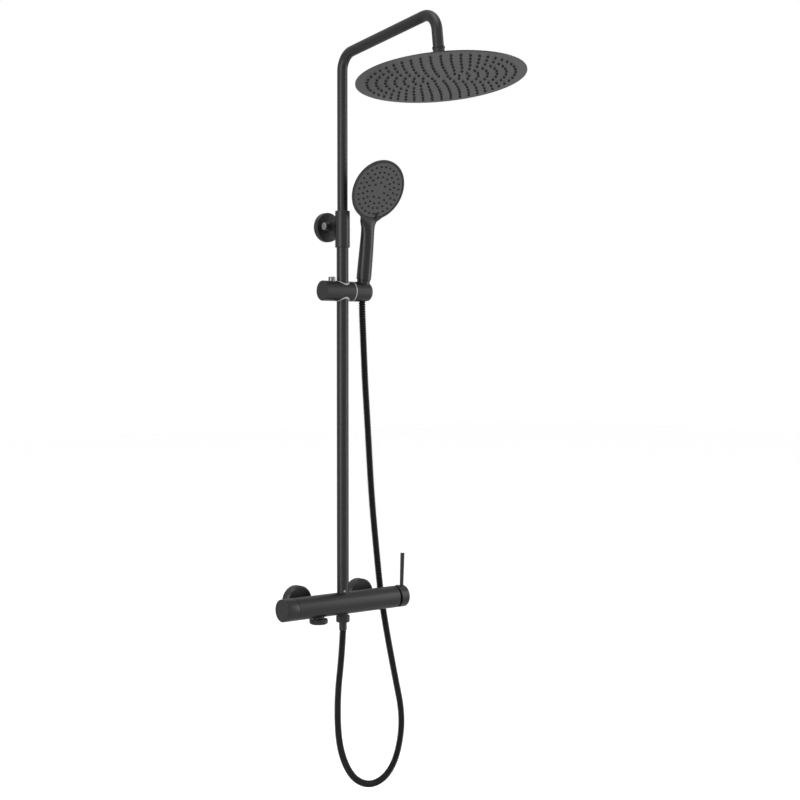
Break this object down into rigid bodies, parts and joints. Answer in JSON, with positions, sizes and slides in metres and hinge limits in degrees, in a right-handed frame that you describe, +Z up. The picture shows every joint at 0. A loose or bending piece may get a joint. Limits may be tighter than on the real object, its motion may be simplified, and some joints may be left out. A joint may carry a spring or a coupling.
{
  "type": "rainfall shower column",
  "caption": "Matte black wall-mounted shower column with bar mixer, telescopic riser, large round rain head, handset on a slider and a looped hose.",
  "frame": {"origin": "on the wall's face, midway between the two wall inlets", "axes": "+X to the user's right along the wall, +Y into the wall, +Z up"},
  "size_m": [0.3325, 0.5149, 1.4765],
  "materials": {
    "black": "matte black coating",
    "brass": "machined",
    "steel": "plain",
    "black_plastic": "ABS with a matte black coating",
    "plastic": "moulded acetal",
    "ceramic": "lapped",
    "rubber": "moulded",
    "hose": "matte black spiral sheath",
    "index": "enamel"
  },
  "bodies": {
    "root": {"valve_body": "black", "bar_end_cap": "black", "inlet_unions": "brass", "union_nuts": "black", "wall_rosettes": "black", "union_washers": "rubber", "check_valves": "plastic", "cartridge_body": "plastic", "ceramic_disc": "ceramic", "cartridge_nut": "brass", "cartridge_dome": "black", "diverter_bonnet": "brass", "riser_spigot": "brass", "spigot_orings": "rubber", "lower_riser_tube": "black", "riser_grub_screws": "steel", "riser_collar": "black", "wiper_bush": "plastic", "wall_flange": "black", "wall_plate": "steel", "bracket_stem": "black", "bracket_barrel": "black", "hose_hex_nut": "black", "hose_ferrule": "black", "hose_loop": "hose"},
    "telescope": {"telescope_piston": "plastic"},
    "arm": {"upper_riser_arm": "black", "ball_stud": "black"},
    "swivel_ring": {"ball_seat_ring": "plastic"},
    "rain_head": {"ball_nut": "black", "head_inlet": "black", "head_top_sheet": "black", "head_face_sheet": "black", "head_nozzle_mat": "rubber"},
    "slider_sleeve": {"slider_liner": "plastic", "hose_upper": "hose"},
    "slider": {"slider_housing": "black", "slider_end_cap": "black", "button_spring": "steel", "tilt_ring": "plastic", "hose_swing": "hose"},
    "slider_button": {"release_button": "black"},
    "slider_lock": {"lock_shoe": "plastic"},
    "cradle": {"handset_cradle": "black"},
    "hose_end": {"hose_cone_nut": "black", "hose_top": "hose"},
    "handset": {"handset_shell": "black_plastic", "handset_inlet": "brass"},
    "spray_dial": {"spray_face": "black_plastic", "spray_nozzles": "rubber"},
    "mixer_spindle": {"cartridge_spindle": "plastic", "stem_pin": "steel"},
    "lever": {"cartridge_stem": "steel", "lever_cap": "black", "lever_pin": "black", "lever_index": "index", "lever_grub_screw": "steel"},
    "diverter": {"diverter_spindle": "brass", "diverter_knob": "black", "diverter_screw": "steel"}
  },
  "joints": [
    {"name": "riser_telescope", "type": "slide", "parent": "root", "child": "telescope", "axis": [0, 0, 1], "range_m": [-0.06, 0.19]},
    {"name": "arm_swivel", "type": "hinge", "parent": "telescope", "child": "arm", "pos_m": [0, -0.055, 0.7], "axis": [0, 0, 1], "range_deg": [-60, 60]},
    {"name": "head_pitch", "type": "hinge", "parent": "arm", "child": "swivel_ring", "pos_m": [0, -0.34441, 0.98825], "axis": [1, 0, 0], "range_deg": [-12, 12]},
    {"name": "head_roll", "type": "hinge", "parent": "swivel_ring", "child": "rain_head", "pos_m": [0, -0.34441, 0.98825], "axis": [0, -0.9914, 0.1305], "range_deg": [-12, 12]},
    {"name": "slider_travel", "type": "slide", "parent": "root", "child": "slider_sleeve", "axis": [0, 0, 1], "range_m": [-0.22, 0.06], "deforming": ["hose_loop", "hose_upper"]},
    {"name": "slider_swivel", "type": "hinge", "parent": "slider_sleeve", "child": "slider", "pos_m": [0, -0.055, 0.598], "axis": [0, 0, 1], "range_deg": [-80, 20], "deforming": ["hose_swing"]},
    {"name": "button_press", "type": "slide", "parent": "slider", "child": "slider_button", "axis": [0, 0, -1], "range_m": [0, 0.004], "stiffness_N_per_m": 600, "springref_m": -0.004, "deforming": ["button_spring"]},
    {"name": "shoe_release", "type": "slide", "parent": "slider", "child": "slider_lock", "axis": [-1, 0, 0], "range_m": [0, 0.001]},
    {"name": "cradle_tilt", "type": "hinge", "parent": "slider", "child": "cradle", "pos_m": [0.05, -0.053, 0.598], "axis": [1, 0, 0], "range_deg": [-2, 25], "deforming": ["hose_top"]},
    {"name": "handset_lift", "type": "slide", "parent": "cradle", "child": "hose_end", "axis": [0, -0.1478, 0.989], "range_m": [0, 0.03]},
    {"name": "handset_turn", "type": "hinge", "parent": "hose_end", "child": "handset", "pos_m": [0.05, -0.053, 0.598], "axis": [0, -0.1478, 0.989], "range_deg": [-10, 45]},
    {"name": "spray_selector", "type": "hinge", "parent": "handset", "child": "spray_dial", "pos_m": [0.05, -0.10398, 0.79098], "axis": [0, -0.91, -0.4147], "range_deg": [0, 50]},
    {"name": "mixer_turn", "type": "hinge", "parent": "root", "child": "mixer_spindle", "pos_m": [0.113, -0.055, -0.006], "axis": [1, 0, 0], "range_deg": [-45, 45]},
    {"name": "lever_lift", "type": "hinge", "parent": "mixer_spindle", "child": "lever", "pos_m": [0.113, -0.055, -0.006], "axis": [0, 1, 0], "range_deg": [0, 12]},
    {"name": "diverter_turn", "type": "hinge", "parent": "root", "child": "diverter", "pos_m": [-0.058, -0.055, -0.006], "axis": [0, 0, 1], "range_deg": [0, 90]}
  ],
  "couplings": [
    {"joint": "shoe_release", "follows": "button_press", "ratio": 0.25}
  ]
}
